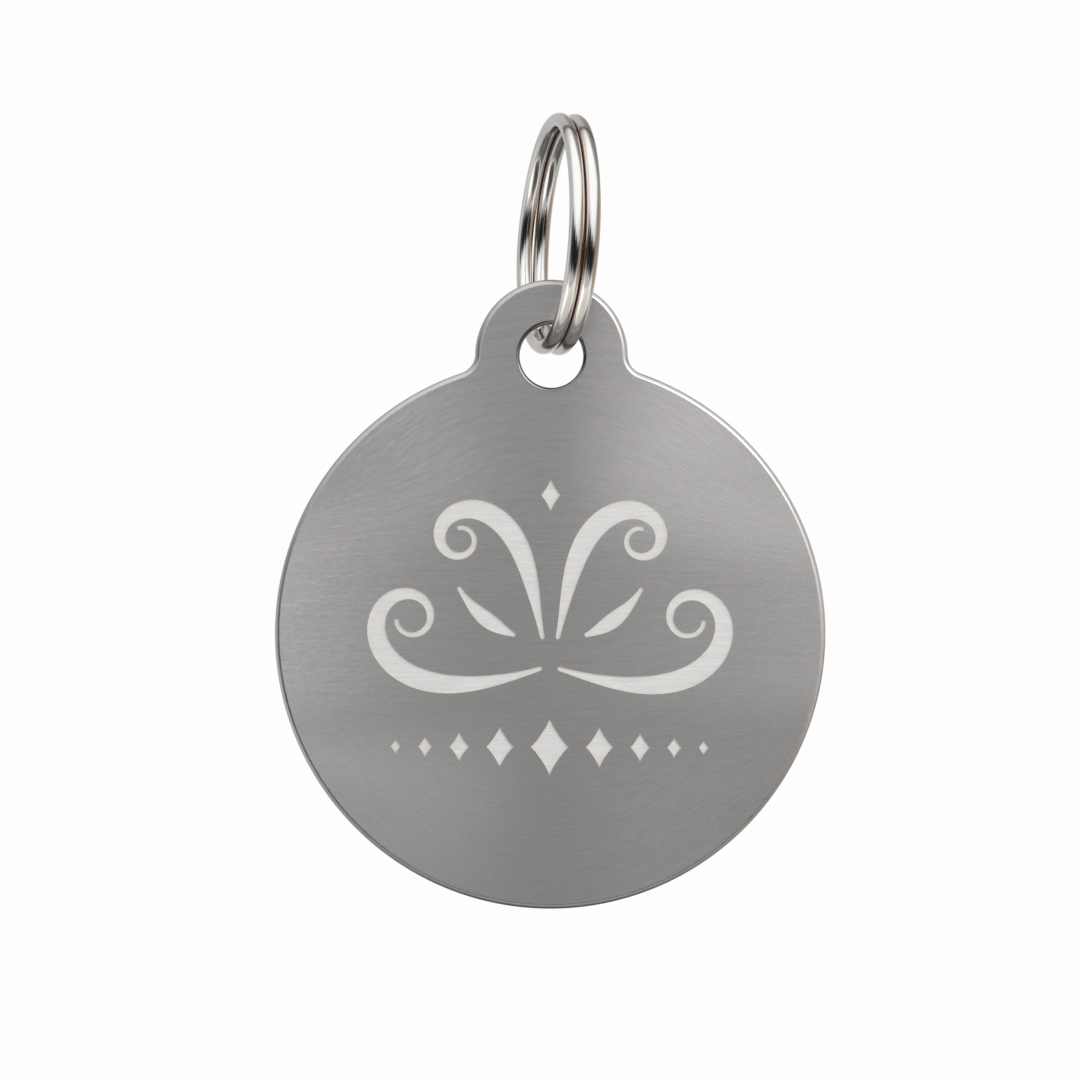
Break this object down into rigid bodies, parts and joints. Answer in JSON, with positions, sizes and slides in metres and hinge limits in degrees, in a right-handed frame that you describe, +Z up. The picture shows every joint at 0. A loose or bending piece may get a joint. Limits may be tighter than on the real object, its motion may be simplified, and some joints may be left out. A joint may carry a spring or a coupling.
{
  "type": "tack id tag",
  "caption": "Round brushed steel tag with an ear and a shallow engraved scroll ornament, hanging from a polished wire split ring that threads onto a strap, halter or bag.",
  "frame": {"origin": "top of the split ring's inside, between its turns, where a strap or hook holds the ring", "axes": "+Z up along the hanging tag, +Y out of the tag's back, so that the engraved front faces -Y, and +X to the right as seen from the front"},
  "size_m": [0.0317, 0.0138, 0.0459],
  "materials": {
    "brushed_plate": "brushed, mostly sideways, with polished rounded edges",
    "ring_wire": "polished nickel plate on steel wire"
  },
  "bodies": {
    "ring": {"split_ring": "ring_wire"},
    "tag": {"tag_plate": "brushed_plate"}
  },
  "joints": [
    {"name": "tag_swing", "type": "hinge", "parent": "ring", "child": "tag", "pos_m": [-0.00075, 0, -0.01263], "axis": [0, 1, 0], "range_deg": [-105, 105]}
  ]
}
